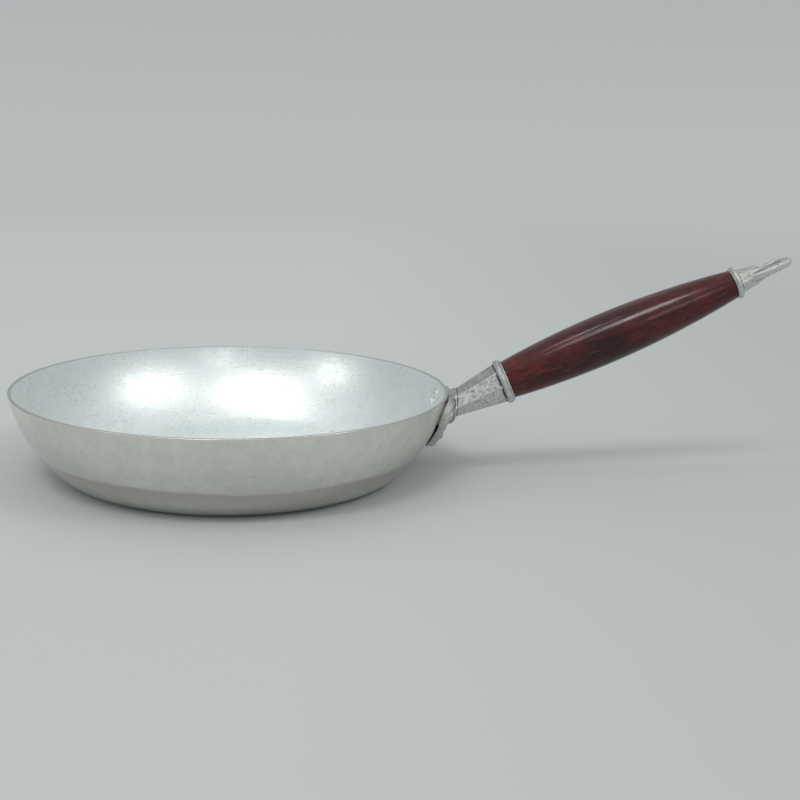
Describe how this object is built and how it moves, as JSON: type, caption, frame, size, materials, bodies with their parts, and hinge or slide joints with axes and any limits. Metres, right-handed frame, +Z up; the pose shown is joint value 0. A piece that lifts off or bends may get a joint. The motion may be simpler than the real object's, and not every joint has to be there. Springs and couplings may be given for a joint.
{
  "type": "omelette pan",
  "caption": "Round pan with curved, sloping sides and a rising handle: a riveted cast bracket, a barrel-shaped wooden grip and a cast end cap with a hanging eye.",
  "frame": {"origin": "on the pan's axis, at the underside of its flat base, which rests on the table", "axes": "+Z up along the pan's axis; +X from the pan's axis towards the handle, whose mid-plane is the XZ plane; +Y completes a right-handed frame"},
  "size_m": [0.463, 0.2598, 0.138],
  "materials": {
    "pan_aluminium": "satin polish inside, duller outside",
    "cast_aluminium": "bare casting, grainy",
    "rivet_aluminium": "bare",
    "dark_wood": "stained dark red, satin varnish",
    "rod_steel": "plain"
  },
  "bodies": {
    "root": {"pan_body": "pan_aluminium", "handle_bracket": "cast_aluminium", "rivets": "rivet_aluminium", "wood_grip": "dark_wood", "tie_rod": "rod_steel", "end_cap": "cast_aluminium"}
  },
  "joints": []
}
